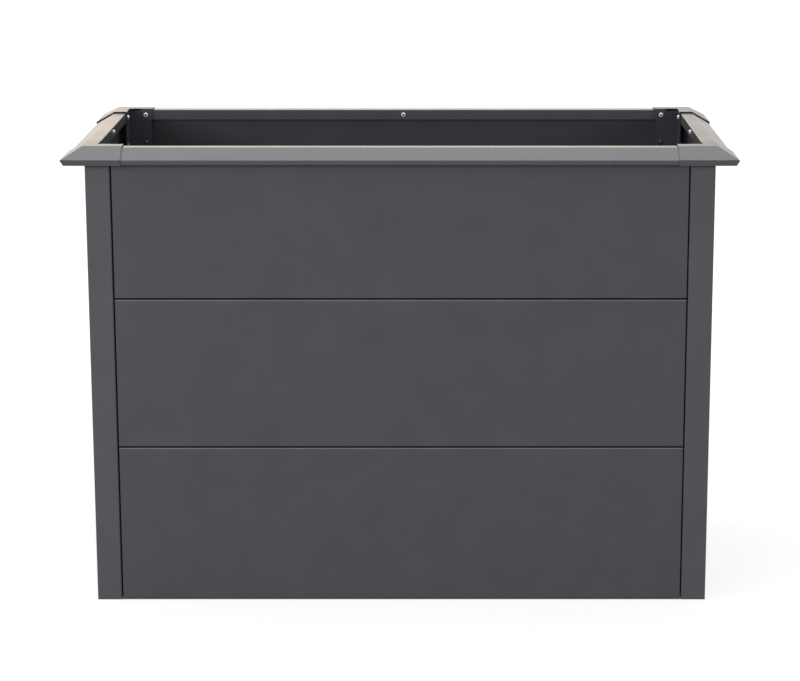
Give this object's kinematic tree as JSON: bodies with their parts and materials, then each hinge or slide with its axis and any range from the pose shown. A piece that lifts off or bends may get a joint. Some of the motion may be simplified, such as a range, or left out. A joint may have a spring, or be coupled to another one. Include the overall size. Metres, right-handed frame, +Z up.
{
  "type": "raised garden bed",
  "caption": "Tall rectangular raised garden bed of dark powder-coated sheet metal, with corner posts, courses of folded panels and a sloped mitred rim; open above and below for soil.",
  "frame": {"origin": "on the ground, under the middle of the bed", "axes": "+X along the long walls to the right seen from the front, +Y to the back, +Z up"},
  "size_m": [1.082, 0.519, 0.7655],
  "materials": {
    "panel_coat": "fine-texture matt powder coat",
    "post_coat": "fine-texture matt powder coat",
    "rim_coat": "satin powder coat",
    "screw_zinc": "bright zinc plate",
    "screw_black": "black-coated steel"
  },
  "bodies": {
    "root": {"corner_post_front_left": "post_coat", "inner_angle_front_left": "post_coat", "rim_cap_front_left": "rim_coat", "corner_post_front_right": "post_coat", "inner_angle_front_right": "post_coat", "rim_cap_front_right": "rim_coat", "corner_post_back_right": "post_coat", "inner_angle_back_right": "post_coat", "rim_cap_back_right": "rim_coat", "corner_post_back_left": "post_coat", "inner_angle_back_left": "post_coat", "rim_cap_back_left": "rim_coat", "rim_rail_front": "rim_coat", "front_panel_lower": "panel_coat", "front_panel_middle": "panel_coat", "front_panel_upper": "panel_coat", "rim_rail_right": "rim_coat", "right_panel_lower": "panel_coat", "right_panel_middle": "panel_coat", "right_panel_upper": "panel_coat", "rim_rail_back": "rim_coat", "back_panel_lower": "panel_coat", "back_panel_middle": "panel_coat", "back_panel_upper": "panel_coat", "rim_rail_left": "rim_coat", "left_panel_lower": "panel_coat", "left_panel_middle": "panel_coat", "left_panel_upper": "panel_coat", "rail_screws": "screw_zinc", "cap_screws": "screw_zinc", "panel_screws": "screw_black"}
  },
  "joints": []
}
